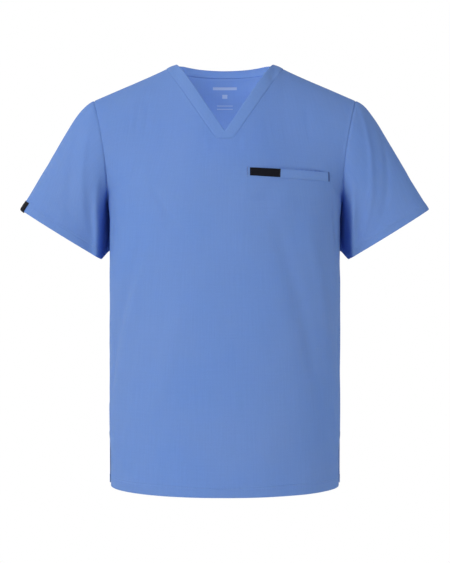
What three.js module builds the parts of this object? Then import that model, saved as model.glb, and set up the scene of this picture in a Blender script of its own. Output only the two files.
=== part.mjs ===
// Short-sleeved V-neck medical scrub top, hollow and filled out as it hangs when worn.
// Millimetres, +Z up. The front faces -Y and the wearer's left is +X.
// The origin lies midway between the two points where the shoulders meet the neck.

import * as THREE from "three";

// Driving dimensions.
const hemZ = -712; // the hem lies level, this far below the neck points
const hemTurn = 17.5; // depth of the turned-up hem
const armholeEase = 14; // height over which the sides open into the armholes
const ventTopZ = -628; // the side vents run from here down to the hem
const underarmZ = -238;
const shoulderTip = { x: 221, z: -63 }; // top of the armhole
const neckHalfWidth = 82;
const bandSeamHalfWidth = 100; // where the neckband's seam meets the shoulder
const neckPointZ = -127; // bottom of the V's opening
const neckPointHalfWidth = 2.4; // the V ends in a narrow turn
const bandFoot = { halfWidth: 14, z: -139.5 }; // the band's seam is cut level under the V
const backNeckZ = -4; // neck edge at the centre back
const backBandSeamZ = -14.3;
const armholeDepth = { front: 60, back: 57 }; // half the armhole's size from front to back
const cuff = { outX: 346.5, outZ: -247.5, inX: 210.5, inZ: -331.7, halfDepth: 42, centreY: 2 };
const cuffTurn = 14; // depth of the sleeve's turned-up hem
const cloth = 1.4; // wall of a single panel
const bandCloth = 2.2; // the neckband is folded double
const bandStand = 0.3; // and stands this much proud of the panels
const trimCloth = 1; // welt, label and tab
const turnedCloth = 0.6; // what a turned-up hem adds on the outside
const stepWidth = 1.2; // width of the step where a turned-up hem ends
const seam = 0.3; // gap between neighbouring pieces
const sleeveSeam = 1.3; // the sleeve's middle surface starts this far from the panel's edge
const underarmRoom = 2.2; // and stands out this much further under the arm
const halfGirth = 256; // centre front to side seam, along the cloth
const widestArmhole = 0.86; // of the body's depth at the same height
const ventSpread = { front: 3, back: 1.2 }; // degrees by which each vent edge opens at the hem
const ventCurlIn = 4; // how far the front's vent edge curls inwards

const clothColour = "#6a8fd0";
const bandColour = "#7093d2";
const labelColour = "#17171b";

// The line where front and back part: the side seam up to the underarm, then the armhole.
const edgeRows = [
  { z: hemZ, x: 195 },
  { z: -500, x: 195 },
  { z: -316, x: 194.5 },
  { z: -275, x: 194 },
  { z: underarmZ, x: 196.5 },
  { z: -219, x: 195.5 },
  { z: -187, x: 196.5 },
  { z: -147, x: 201 },
  { z: -97, x: 211 },
  { z: shoulderTip.z, x: shoulderTip.x },
];

// Height of the shoulders' ridge, carried on across the open neck.
const shoulderRows = [
  { x: 0, z: 34 },
  { x: 40, z: 24 },
  { x: neckHalfWidth, z: 0 },
  { x: bandSeamHalfWidth, z: -10 },
  { x: 130, z: -24 },
  { x: 178, z: -44.5 },
  { x: shoulderTip.x, z: shoulderTip.z },
];

// Side view: how far front and back stand from the ridge at each drop below it.
const profileRows = [
  { drop: 0, front: 0, back: 0 },
  { drop: 8, front: 25, back: 25 },
  { drop: 25, front: 44, back: 45 },
  { drop: 60, front: 65, back: 71 },
  { drop: 110, front: 83, back: 92 },
  { drop: 170, front: 101, back: 107 },
  { drop: 250, front: 119, back: 115 },
  { drop: 340, front: 128, back: 114 },
  { drop: 480, front: 131, back: 112 },
  { drop: 600, front: 133, back: 114 },
  { drop: 746, front: 135, back: 118 },
];

// How square the body's level sections are: 2 is an ellipse.
const squareRows = [
  { z: hemZ, power: 2.12 },
  { z: -480, power: 2.15 },
  { z: -330, power: 2.3 },
  { z: underarmZ, power: 2.62 },
  { z: -150, power: 2.6 },
  { z: shoulderTip.z, power: 2.5 },
];

// Soft folds. along is measured round the body from the centre line, and lift is outwards.
const foldRows = [
  { face: "front", topZ: -255, topAlong: -86, footZ: -622, footAlong: -206, bow: 0, width: 15, lift: 3.6 },
  { face: "front", topZ: -285, topAlong: -104, footZ: -618, footAlong: -232, bow: -14, width: 14, lift: -3.2 },
  { face: "front", topZ: -390, topAlong: -48, footZ: -650, footAlong: -128, bow: 8, width: 18, lift: 2.2 },
  { face: "front", topZ: -255, topAlong: 52, footZ: -610, footAlong: 158, bow: 8, width: 16, lift: -3.2 },
  { face: "front", topZ: -250, topAlong: 108, footZ: -622, footAlong: 196, bow: 8, width: 16, lift: 3.4 },
  { face: "front", topZ: -420, topAlong: 212, footZ: -640, footAlong: 232, bow: 0, width: 12, lift: -2.4 },
  { face: "back", topZ: -230, topAlong: -92, footZ: -640, footAlong: -186, bow: -10, width: 18, lift: 3.6 },
  { face: "back", topZ: -260, topAlong: -120, footZ: -625, footAlong: -226, bow: -8, width: 14, lift: -3 },
  { face: "back", topZ: -300, topAlong: 18, footZ: -680, footAlong: -34, bow: 10, width: 24, lift: -3 },
  { face: "back", topZ: -240, topAlong: 84, footZ: -650, footAlong: 168, bow: 8, width: 18, lift: 3.8 },
  { face: "back", topZ: -270, topAlong: 116, footZ: -620, footAlong: 214, bow: 6, width: 14, lift: -3 },
];

// How each line of the sleeve leaves the armhole and meets the cuff, from the underarm (turn 0) over the
// top (turn 180). start and end are how long it keeps each direction, and sway carries it backwards.
const sleeveRows = [
  { turn: 0, outX: 0.02, outZ: -1, start: 30, end: 26, sway: 20 },
  { turn: 45, outX: 0.3, outZ: -0.95, start: 34, end: 32, sway: 8 },
  { turn: 90, outX: 0.72, outZ: -0.69, start: 42, end: 55, sway: 0 },
  { turn: 135, outX: 0.88, outZ: -0.48, start: 38, end: 100, sway: 0 },
  { turn: 180, outX: 0.93, outZ: -0.37, start: 30, end: 150, sway: 0 },
];

// Behind the underarm (turns below 0) the sleeve is drawn in against the body's side, most at the cuff.
const drawnInRows = [
  { turn: -130, inwards: 0, up: 0 },
  { turn: -100, inwards: 14, up: 3 },
  { turn: -75, inwards: 31, up: 6 },
  { turn: -50, inwards: 37, up: 8 },
  { turn: -25, inwards: 15, up: 8 },
  { turn: 0, inwards: 0, up: 0 },
  { turn: 180, inwards: 0, up: 0 },
];

// Folds that run down the sleeves, at a turn from the underarm: front turns are positive.
const sleeveFoldRows = [
  { side: 1, turn: 58, width: 11, lift: 3 },
  { side: 1, turn: 84, width: 10, lift: -3 },
  { side: 1, turn: -70, width: 14, lift: -3 },
  { side: -1, turn: 66, width: 13, lift: 2.4 },
  { side: -1, turn: 96, width: 15, lift: -1.6 },
  { side: -1, turn: -74, width: 14, lift: -3 },
];

const welt = { inX: 35.5, outX: 171, topZ: -187, tilt: -0.035, height: 14.5 };
const label = { inX: 40, outX: 89, topZ: -187.3, tilt: -0.035, height: 13.2 };
const tab = { length: 17, fromTurn: 157, toTurn: 184 };

// Smooth curve through a table's rows that never overshoots them.
function curveThrough(rows, key, value) {
  const at = rows.map((row) => row[key]);
  const height = rows.map((row) => row[value]);
  const slope = at.slice(1).map((a, i) => (height[i + 1] - height[i]) / (a - at[i]));
  const tangent = at.map((_, i) => {
    if (i === 0) return slope[0];
    if (i === at.length - 1) return slope[i - 1];
    const product = slope[i - 1] * slope[i];
    return product <= 0 ? 0 : (2 * product) / (slope[i - 1] + slope[i]);
  });
  return (x) => {
    let i = 0;
    while (i < at.length - 2 && x > at[i + 1]) i += 1;
    const span = at[i + 1] - at[i];
    const u = Math.min(1, Math.max(0, (x - at[i]) / span));
    const rest = 1 - u;
    return (
      height[i] * (1 + 2 * u) * rest * rest +
      tangent[i] * span * u * rest * rest +
      height[i + 1] * u * u * (3 - 2 * u) -
      tangent[i + 1] * span * u * u * rest
    );
  };
}

const radians = THREE.MathUtils.degToRad;
const lerp = THREE.MathUtils.lerp;
const edgeX = curveThrough(edgeRows, "z", "x");
const ridgeZ = curveThrough(shoulderRows, "x", "z");
const squareness = curveThrough(squareRows, "z", "power");
const rootRows = profileRows.map((row) => ({ ...row, root: Math.sqrt(row.drop) }));
const profile = {
  front: curveThrough(rootRows, "root", "front"),
  back: curveThrough(rootRows, "root", "back"),
};
const outward = { front: -1, back: 1 };

const standOff = (face, drop) => profile[face](Math.sqrt(Math.max(0, drop)));

// Half the armhole's depth at a height, from its oval.
function armholeY(face, z) {
  const middle = (underarmZ + shoulderTip.z) / 2;
  const reach = (shoulderTip.z - underarmZ) / 2;
  const level = Math.min(1, Math.abs(z - middle) / reach);
  return armholeDepth[face] * Math.sqrt(1 - level * level);
}

// Angle of the section at the panel's edge: a right angle at the side seam, less at the armhole and vent.
function edgeAngle(face, z, power) {
  if (z <= ventTopZ) {
    const open = (ventTopZ - z) / (ventTopZ - hemZ);
    return radians(90 - ventSpread[face] * open);
  }
  if (z <= underarmZ) return radians(90);
  const room = standOff(face, Math.max(0.5, ridgeZ(edgeX(z)) - z));
  const risen = z - underarmZ;
  const eased = risen / (risen + armholeEase);
  const share = Math.min(widestArmhole, armholeY(face, z) / room) * eased ** (1 / power);
  return Math.acos(Math.pow(share, power / 2));
}

// The level section through the panel's edge at this height: its full half-width, edge angle and power.
function sectionAt(face, z) {
  const level = Math.min(z, shoulderTip.z - 1.5);
  const power = squareness(level);
  const angle = edgeAngle(face, level, power);
  return { angle, power, halfWidth: edgeX(z) / Math.pow(Math.sin(angle), 2 / power) };
}

const topSection = { front: sectionAt("front", shoulderTip.z), back: sectionAt("back", shoulderTip.z) };

// Sideways and front-to-back reach of a section at an angle from its centre line.
const sideways = (section, turned) => section.halfWidth * Math.pow(Math.sin(turned), 2 / section.power);
const forwards = (section, turned) => Math.pow(Math.cos(turned), 2 / section.power);

// Height of a panel's upper edge: the neckband's seam, then the shoulder seam.
function upperEdgeZ(face, x) {
  if (x >= bandSeamHalfWidth) return ridgeZ(x);
  const seamZ = ridgeZ(bandSeamHalfWidth);
  if (face === "back") {
    return lerp(backBandSeamZ, seamZ, (x / bandSeamHalfWidth) ** 2);
  }
  if (x <= bandFoot.halfWidth) return bandFoot.z;
  const up = (x - bandFoot.halfWidth) / (bandSeamHalfWidth - bandFoot.halfWidth);
  return lerp(bandFoot.z, seamZ, up);
}

function foldLift(face, along, z) {
  let lift = 0;
  for (const fold of foldRows) {
    const down = (fold.topZ - z) / (fold.topZ - fold.footZ);
    if (fold.face !== face || down <= 0 || down >= 1) continue;
    const path = lerp(fold.topAlong, fold.footAlong, down) + fold.bow * Math.sin(Math.PI * down);
    const fade = Math.max(0, Math.sin(Math.PI * Math.min(1, down * 1.15))) ** 0.8;
    lift += fold.lift * fade * Math.exp(-(((along - path) / fold.width) ** 2));
  }
  return lift;
}

// The front panel's edge curls inwards along the vent.
function ventCurl(face, share, z) {
  if (face !== "front" || z >= ventTopZ) return 0;
  const open = Math.sin((Math.PI / 2) * Math.min(1, (ventTopZ - z) / 40));
  const nearEdge = Math.max(0, (share - 0.86) / 0.14);
  return -ventCurlIn * open * nearEdge ** 2;
}

// A point of a panel's middle surface. across runs from -1 to 1 between its edges, and edgeHeight is the
// height of the row's ends.
function panelPoint(face, across, edgeHeight) {
  const share = Math.abs(across);
  const section = sectionAt(face, edgeHeight);
  const turned = share * section.angle;
  const x = sideways(section, turned);
  const topX = sideways(topSection[face], share * topSection[face].angle);
  const rise = (edgeHeight - hemZ) / (shoulderTip.z - hemZ);
  const z = hemZ + (upperEdgeZ(face, Math.min(topX, shoulderTip.x)) - hemZ) * rise;
  const depth = standOff(face, ridgeZ(x) - z) * forwards(section, turned);
  const lift = foldLift(face, across * halfGirth, z) + ventCurl(face, share, edgeHeight);
  return new THREE.Vector3(
    (across < 0 ? -1 : 1) * (x + lift * Math.sin(turned)),
    outward[face] * (seam / 2 + depth + lift * Math.cos(turned)),
    z,
  );
}

// The same surface beyond the panel's upper edge, where the neckband lies.
function neckPoint(face, x, z) {
  const { halfWidth, power } = topSection[face];
  const round = Math.pow(1 - Math.pow(Math.abs(x) / halfWidth, power), 1 / power);
  const depth = standOff(face, ridgeZ(Math.abs(x)) - z) * round;
  return new THREE.Vector3(x, outward[face] * (seam / 2 + depth), z);
}

// Where a point of the front view lies on a panel, found by a few corrections.
function locate(face, x, z) {
  let across = x / 200;
  let edgeHeight = z;
  for (let pass = 0; pass < 12; pass += 1) {
    const { angle, halfWidth, power } = sectionAt(face, edgeHeight);
    const share = Math.min(1, Math.abs(x) / halfWidth);
    across = (Math.sign(x) * Math.asin(Math.pow(share, power / 2))) / angle;
    const topX = sideways(topSection[face], Math.abs(across) * topSection[face].angle);
    const rise = (z - hemZ) / (upperEdgeZ(face, topX) - hemZ);
    edgeHeight = hemZ + rise * (shoulderTip.z - hemZ);
  }
  return { across, edgeHeight };
}

// Normals of a grid of points. flip turns them to the other side, and ring closes the columns. On the
// shoulders' ridge, where front and back meet, they stay in the meeting plane.
function gridNormals(points, flip, ring) {
  const rows = points.length;
  const columns = points[0].length;
  const pick = (i, j) => {
    const row = Math.min(rows - 1, Math.max(0, i));
    const column = ring ? (j + columns) % columns : Math.min(columns - 1, Math.max(0, j));
    return points[row][column];
  };
  return points.map((line, i) =>
    line.map((point, j) => {
      const up = pick(i + 1, j).clone().sub(pick(i - 1, j));
      const side = pick(i, j + 1).clone().sub(pick(i, j - 1));
      const normal = side.cross(up);
      if (Math.abs(point.y) < 2 * seam) normal.y = 0;
      return normal.normalize().multiplyScalar(flip ? -1 : 1);
    }),
  );
}

// A closed wall round a grid of points: it reaches outer(i, j) to the outside and inner(i, j) to the inside.
function wallGeometry(points, { flip = false, ring = false, outer, inner }) {
  const normals = gridNormals(points, flip, ring);
  const rows = points.length;
  const columns = points[0].length;
  const position = [];
  const index = [];
  for (const [reach, sign] of [
    [outer, 1],
    [inner, -1],
  ]) {
    points.forEach((line, i) =>
      line.forEach((point, j) => {
        const moved = point.clone().addScaledVector(normals[i][j], sign * reach(i, j));
        position.push(moved.x, moved.y, moved.z);
      }),
    );
  }
  const at = (layer, i, j) => (layer * rows + i) * columns + (j % columns);
  const quad = (a, b, c, d) => {
    if (flip) index.push(a, c, b, a, d, c);
    else index.push(a, b, c, a, c, d);
  };
  const lastColumn = ring ? columns : columns - 1;
  for (let i = 0; i < rows - 1; i += 1) {
    for (let j = 0; j < lastColumn; j += 1) {
      quad(at(0, i, j), at(0, i, j + 1), at(0, i + 1, j + 1), at(0, i + 1, j));
      quad(at(1, i, j), at(1, i + 1, j), at(1, i + 1, j + 1), at(1, i, j + 1));
    }
  }
  for (let j = 0; j < lastColumn; j += 1) {
    quad(at(1, 0, j), at(1, 0, j + 1), at(0, 0, j + 1), at(0, 0, j));
    quad(at(0, rows - 1, j), at(0, rows - 1, j + 1), at(1, rows - 1, j + 1), at(1, rows - 1, j));
  }
  if (!ring) {
    for (let i = 0; i < rows - 1; i += 1) {
      quad(at(1, i, 0), at(0, i, 0), at(0, i + 1, 0), at(1, i + 1, 0));
      quad(at(0, i, columns - 1), at(1, i, columns - 1), at(1, i + 1, columns - 1), at(0, i + 1, columns - 1));
    }
  }
  const geometry = new THREE.BufferGeometry();
  geometry.setAttribute("position", new THREE.Float32BufferAttribute(position, 3));
  geometry.setIndex(index);
  geometry.computeVertexNormals();
  return geometry;
}

// Shares of a panel's half-width for its columns, with columns on the band's corner and shoulder end.
function columnShares(face, counts) {
  const shareAt = (x) => {
    const { angle, halfWidth, power } = topSection[face];
    return Math.asin(Math.pow(x / halfWidth, power / 2)) / angle;
  };
  const foot = shareAt(bandFoot.halfWidth);
  const neck = shareAt(bandSeamHalfWidth);
  const shares = [0];
  shares.push(foot);
  for (let k = 1; k <= counts.neck; k += 1) {
    shares.push(neck - (neck - foot) * Math.pow(1 - k / counts.neck, 1.5));
  }
  for (let k = 1; k <= counts.shoulder; k += 1) shares.push(lerp(neck, 1, k / counts.shoulder));
  const mirrored = shares.slice(1).reverse().map((share) => -share);
  return [...mirrored, ...shares];
}

// Heights of a panel's rows: level rows up to the underarm, then even steps round the armhole.
function rowHeights(bodyRows, armholeRows) {
  const low = hemZ + hemTurn + stepWidth / 2;
  const heights = [hemZ, low - stepWidth, low];
  for (let k = 1; k <= 3; k += 1) heights.push(lerp(low, ventTopZ, k / 3));
  for (let k = 1; k <= bodyRows; k += 1) heights.push(lerp(ventTopZ, underarmZ, k / bodyRows));
  const middle = (underarmZ + shoulderTip.z) / 2;
  const reach = (shoulderTip.z - underarmZ) / 2;
  for (let k = 1; k <= armholeRows; k += 1) {
    heights.push(middle - reach * Math.cos((Math.PI * k) / armholeRows));
  }
  return heights;
}

function panelGeometry(face, counts) {
  const shares = columnShares(face, counts);
  const heights = rowHeights(counts.body, counts.armhole);
  const points = heights.map((z) => shares.map((share) => panelPoint(face, share, z)));
  const turnedUp = (i) => (heights[i] < hemZ + hemTurn ? turnedCloth : 0);
  return wallGeometry(points, {
    flip: face === "back",
    outer: (i) => cloth / 2 + turnedUp(i),
    inner: () => cloth / 2,
  });
}

// The neckband's free edge in the front view, beside the point of its seam at x.
function neckEdge(face, x) {
  if (face === "back") {
    const share = x / bandSeamHalfWidth;
    return { x: neckHalfWidth * share, z: backNeckZ * (1 - share * share) };
  }
  if (x < bandFoot.halfWidth) return { x: 0, z: neckPointZ };
  const up = (x - bandFoot.halfWidth) / (bandSeamHalfWidth - bandFoot.halfWidth);
  const along = lerp(neckPointHalfWidth / neckHalfWidth, 1, up);
  return { x: neckHalfWidth * along, z: neckPointZ * (1 - along) };
}

// A neckband, column by column beside the panel it is sewn to.
function bandGeometry(face, counts) {
  const section = topSection[face];
  const seamX = columnShares(face, counts)
    .map((share) => Math.sign(share) * sideways(section, Math.abs(share) * section.angle))
    .filter((x) => Math.abs(x) < bandSeamHalfWidth + 0.01);
  const points = [];
  const widths = 3;
  for (let i = 0; i <= widths; i += 1) {
    points.push(
      seamX.map((x) => {
        const outer = { x: Math.abs(x), z: upperEdgeZ(face, Math.abs(x)) };
        const inner = neckEdge(face, outer.x);
        const run = Math.hypot(outer.x - inner.x, outer.z - inner.z);
        const share = lerp((1.5 * seam) / run, 1, i / widths);
        const z = lerp(outer.z, inner.z, share);
        const reach = lerp(outer.x, inner.x, share);
        return neckPoint(face, Math.sign(x) * reach, Math.min(z, ridgeZ(reach)));
      }),
    );
  }
  return wallGeometry(points, {
    flip: face === "back",
    outer: () => bandCloth / 2 + bandStand,
    inner: () => bandCloth / 2 - bandStand,
  });
}

// The armhole's oval, turned from the underarm (0) up the front to the shoulder (180) and down the back.
function armholePoint(side, turn) {
  const angle = radians(turn);
  const middle = (underarmZ + shoulderTip.z) / 2;
  const z = middle - ((shoulderTip.z - underarmZ) / 2) * Math.cos(angle);
  const face = Math.sin(angle) >= 0 ? "front" : "back";
  return panelPoint(face, side, z);
}

const cuffCentre = new THREE.Vector3((cuff.outX + cuff.inX) / 2, cuff.centreY, (cuff.outZ + cuff.inZ) / 2);
const cuffAlong = new THREE.Vector3(cuff.outX - cuff.inX, 0, cuff.outZ - cuff.inZ);
const cuffHalfWidth = cuffAlong.length() / 2;
cuffAlong.normalize();
const armAxis = new THREE.Vector3(-cuffAlong.z, 0, cuffAlong.x).multiplyScalar(-1);

const sleeveValue = Object.fromEntries(
  ["outX", "outZ", "start", "end", "sway"].map((name) => [name, curveThrough(sleeveRows, "turn", name)]),
);

const drawnInwards = curveThrough(drawnInRows, "turn", "inwards");
const drawnUp = curveThrough(drawnInRows, "turn", "up");

// A point of the sleeve's middle surface. turn goes round it, from 0 to 360, and along runs from the
// armhole (0) to the cuff (1).
function sleevePoint(side, turn, along) {
  const folded = turn > 180 ? 360 - turn : turn;
  const value = (name) => sleeveValue[name](folded);
  const angle = radians(turn);
  const leave = new THREE.Vector3(value("outX"), 0, value("outZ")).normalize();
  const root = armholePoint(1, turn);
  const nearUnderarm = Math.max(0, Math.cos(angle)) ** 1.5;
  root.addScaledVector(leave, sleeveSeam);
  root.x += underarmRoom * nearUnderarm;
  const end = cuffCentre
    .clone()
    .addScaledVector(cuffAlong, -cuffHalfWidth * Math.cos(angle))
    .add(new THREE.Vector3(0, -cuff.halfDepth * Math.sin(angle), 0));
  const first = root.clone().addScaledVector(leave, value("start"));
  const second = end.clone().addScaledVector(armAxis, -value("end"));
  first.y += value("sway");
  second.y += value("sway");
  const point = new THREE.CubicBezierCurve3(root, first, second, end).getPoint(along);
  const signed = turn > 180 ? turn - 360 : turn;
  const late = Math.max(0, (along - 0.38) / 0.62);
  const gained = late * late * (3 - 2 * late);
  point.x -= drawnInwards(signed) * gained;
  point.z += drawnUp(signed) * gained;
  for (const fold of sleeveFoldRows) {
    if (fold.side !== side) continue;
    const fade = Math.max(0, Math.sin(Math.PI * Math.min(1, along * 1.05 + 0.02))) ** 0.7;
    const lift = fold.lift * fade * Math.exp(-(((signed - fold.turn) / fold.width) ** 2));
    point.y += lift * (signed > 0 ? -1 : 1);
  }
  point.x *= side;
  return point;
}

// How far along a sleeve's line a point lies that is the given distance short of the cuff.
function cuffShare(turn, distance) {
  const folded = turn > 180 ? 360 - turn : turn;
  return 1 - distance / (3 * sleeveValue.end(folded));
}

function sleeveGeometry(side) {
  const around = 36;
  const lengths = 11;
  const points = [];
  for (let i = 0; i <= lengths + 2; i += 1) {
    const line = [];
    for (let j = 0; j < around; j += 1) {
      const turn = (360 * j) / around;
      const before = cuffShare(turn, cuffTurn + stepWidth);
      const hem = cuffShare(turn, cuffTurn);
      const share = i <= lengths ? before * (i / lengths) : i === lengths + 1 ? hem : 1;
      line.push(sleevePoint(side, turn, share));
    }
    points.push(line);
  }
  return wallGeometry(points, {
    flip: side > 0,
    ring: true,
    outer: (i) => cloth / 2 + (i > lengths ? turnedCloth : 0),
    inner: () => cloth / 2,
  });
}

// A strip that lies on the front panel, made from the panel's own points, moved out.
function stripOnFront({ inX, outX, topZ, tilt, height }, lift, columns) {
  const points = [];
  for (let i = 0; i <= 2; i += 1) {
    const line = [];
    for (let j = 0; j <= columns; j += 1) {
      const x = lerp(inX, outX, j / columns);
      const z = topZ + tilt * (x - inX) - height * (1 - i / 2);
      const { across, edgeHeight } = locate("front", x, z);
      line.push(panelPoint("front", across, edgeHeight));
    }
    points.push(line);
  }
  return wallGeometry(points, {
    outer: () => lift + trimCloth,
    inner: () => -lift,
  });
}

// The small tab on the outside of one sleeve's hem.
function tabGeometry() {
  const rightSide = -1;
  const columns = 8;
  const rows = 3;
  const points = [];
  for (let i = 0; i <= rows; i += 1) {
    const line = [];
    for (let j = 0; j <= columns; j += 1) {
      const turn = lerp(tab.fromTurn, tab.toTurn, j / columns);
      line.push(sleevePoint(rightSide, turn, cuffShare(turn, tab.length * (1 - i / rows) + seam)));
    }
    points.push(line);
  }
  const lift = cloth / 2 + turnedCloth + seam;
  return wallGeometry(points, {
    outer: () => lift + trimCloth,
    inner: () => -lift,
  });
}

function material(colour) {
  return new THREE.MeshStandardMaterial({ color: colour, roughness: 0.85, metalness: 0, side: THREE.DoubleSide });
}

function piece(name, geometry, colour) {
  const mesh = new THREE.Mesh(geometry, material(colour));
  mesh.name = name;
  return mesh;
}

const weltLift = cloth / 2 + 2 * seam;
const labelLift = weltLift + trimCloth + seam;
const frontCounts = { neck: 8, shoulder: 12, body: 9, armhole: 11 };
const backCounts = { neck: 6, shoulder: 10, body: 8, armhole: 11 };
const top = new THREE.Group();
top.add(
  piece("front_panel", panelGeometry("front", frontCounts), clothColour),
  piece("back_panel", panelGeometry("back", backCounts), clothColour),
  piece("sleeve_left", sleeveGeometry(1), clothColour),
  piece("sleeve_right", sleeveGeometry(-1), clothColour),
  piece("neckband_front", bandGeometry("front", frontCounts), bandColour),
  piece("neckband_back", bandGeometry("back", backCounts), bandColour),
  piece("chest_pocket_welt", stripOnFront(welt, weltLift, 14), bandColour),
  piece("pocket_label", stripOnFront(label, labelLift, 8), labelColour),
  piece("sleeve_tab", tabGeometry(), labelColour),
);

export default top;
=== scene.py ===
import math

import bpy
import numpy as np
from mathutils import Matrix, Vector, noise


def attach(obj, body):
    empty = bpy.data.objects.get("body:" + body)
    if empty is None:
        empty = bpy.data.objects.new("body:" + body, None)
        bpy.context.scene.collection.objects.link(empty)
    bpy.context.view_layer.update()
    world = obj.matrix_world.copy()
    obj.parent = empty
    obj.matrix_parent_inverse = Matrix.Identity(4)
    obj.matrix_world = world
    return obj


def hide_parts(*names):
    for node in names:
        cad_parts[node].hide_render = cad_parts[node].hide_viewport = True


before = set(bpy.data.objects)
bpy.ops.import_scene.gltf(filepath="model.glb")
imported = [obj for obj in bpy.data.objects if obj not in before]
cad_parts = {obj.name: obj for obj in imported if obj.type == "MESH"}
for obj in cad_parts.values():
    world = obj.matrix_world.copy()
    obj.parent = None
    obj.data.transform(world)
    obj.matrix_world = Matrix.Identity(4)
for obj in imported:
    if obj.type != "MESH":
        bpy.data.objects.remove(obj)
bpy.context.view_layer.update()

# The top's sizes are in millimetres, as a cutter writes them, and every mesh is made in metres.
mm = 0.001

garment = {
    "hemZ": -712,
    "hemTurn": 17.5,
    "ventTopZ": -628,
    "ventSpread": {"front": 3, "back": 1.2},  # degrees between the open edges and the side
    "ventSag": 4,  # how far the front's corners fall back
    "underarmZ": -238,
    "tipX": 221,  # shoulder end of the armhole
    "tipZ": -63,
    "armholeEase": 14,
    "armholeMost": 0.86,  # share of the depth from the side seam that the armhole takes
    "armholeDepth": {"front": 60, "back": 57},
    "neckHalfWidth": 82,
    "bandSeamHalfWidth": 100,
    "neckPointZ": -127,
    "neckPointHalfWidth": 2.4,
    "bandFootHalfWidth": 14,
    "bandFootZ": -139.5,
    "bandFootRounding": 1.8,
    "backNeckZ": -4,
    "backBandSeamZ": -14.3,
    "halfGirth": 256,  # centre front to side seam along the cloth
    "sideGap": 0.15,
    "clothThick": 0.6,
    "hemThick": 1.5,
    "cuffTurn": 14,
}


# Shape of the filled-out top

def hill(distance, width):
    return np.exp(-((distance / width) ** 2))


def softStep(value, edge, softness):
    # 1 below the edge and 0 above it
    return 1 / (1 + np.exp((value - edge) / softness))


def eased(share):
    return share**2 * (3 - 2 * share)


def smoothCurve(rows):
    at, height = np.array(rows, float).T
    slope = np.diff(height) / np.diff(at)
    before, after = slope[:-1], slope[1:]
    turns = before * after <= 0
    middle = 2 * before * after / np.where(turns, 1, before + after)
    tangent = np.concatenate([slope[:1], np.where(turns, 0, middle), slope[-1:]])

    def value(x):
        x = np.clip(x, at[0], at[-1])
        i = np.clip(np.searchsorted(at, x) - 1, 0, len(at) - 2)
        span = at[i + 1] - at[i]
        u = (x - at[i]) / span
        rest = 1 - u
        low = height[i] * (1 + 2 * u) * rest**2 + tangent[i] * span * u * rest**2
        return low + height[i + 1] * eased(u) - tangent[i + 1] * span * u**2 * rest

    return value


edgeX = smoothCurve([
    (-712, 195), (-500, 195), (-316, 194.5), (-275, 194), (-238, 196.5),
    (-219, 195.5), (-187, 196.5), (-147, 201), (-97, 211), (-63, 221),
])
ridgeZ = smoothCurve([
    (0, 30.2), (10, 29.8), (40, 24), (82, 0), (100, -10), (130, -24), (178, -44.5), (221, -63),
])
squareness = smoothCurve([
    (-712, 2.12), (-480, 2.15), (-330, 2.3), (-238, 2.62), (-150, 2.6), (-63, 2.5),
])
dropRows = [0, 8, 25, 60, 110, 170, 250, 340, 480, 600, 746]
standOffRows = {
    "front": [0, 25, 44, 65, 83, 101, 119, 128, 131, 133, 135],
    "back": [0, 25, 45, 71, 92, 107, 115, 114, 112, 114, 118],
}
standOffCurve = {
    face: smoothCurve([(math.sqrt(d), y) for d, y in zip(dropRows, rows)])
    for face, rows in standOffRows.items()
}
outwards = {"front": -1, "back": 1}


def standOff(face, drop):
    return standOffCurve[face](np.sqrt(np.maximum(0, drop)))


def armholeReach(face, z):
    middle = (garment["underarmZ"] + garment["tipZ"]) / 2
    half = (garment["tipZ"] - garment["underarmZ"]) / 2
    level = np.minimum(1, np.abs(z - middle) / half)
    return garment["armholeDepth"][face] * np.sqrt(1 - level**2)


def sectionAt(face, z):
    z = np.asarray(z, float)
    level = np.minimum(z, garment["tipZ"] - 1.5)
    power = squareness(level)
    opened = (garment["ventTopZ"] - z) / (garment["ventTopZ"] - garment["hemZ"])
    ventAngle = np.radians(90 - garment["ventSpread"][face] * np.clip(opened, 0, 1))
    room = standOff(face, np.maximum(0.5, ridgeZ(edgeX(level)) - level))
    risen = np.maximum(0, level - garment["underarmZ"])
    leaving = risen / (risen + garment["armholeEase"])
    share = np.minimum(garment["armholeMost"], armholeReach(face, level) / room) * leaving ** (1 / power)
    armholeAngle = np.arccos(np.clip(share, 0, 1) ** (power / 2))
    angle = np.where(z <= garment["ventTopZ"], ventAngle,
                     np.where(z <= garment["underarmZ"], np.pi / 2, armholeAngle))
    halfWidth = edgeX(z) / np.sin(angle) ** (2 / power)
    return angle, power, halfWidth


def upperEdge(face, x):
    seamX, seamZ = garment["bandSeamHalfWidth"], float(ridgeZ(garment["bandSeamHalfWidth"]))
    if face == "back":
        neck = garment["backBandSeamZ"] + (seamZ - garment["backBandSeamZ"]) * (x / seamX) ** 2
    else:
        foot = garment["bandFootHalfWidth"]
        rounding = garment["bandFootRounding"]
        up = np.logaddexp(0, (x - foot) / rounding) * rounding / (seamX - foot)
        neck = garment["bandFootZ"] + (seamZ - garment["bandFootZ"]) * np.minimum(1, up)
    return np.where(x >= seamX, ridgeZ(x), neck)


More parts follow.
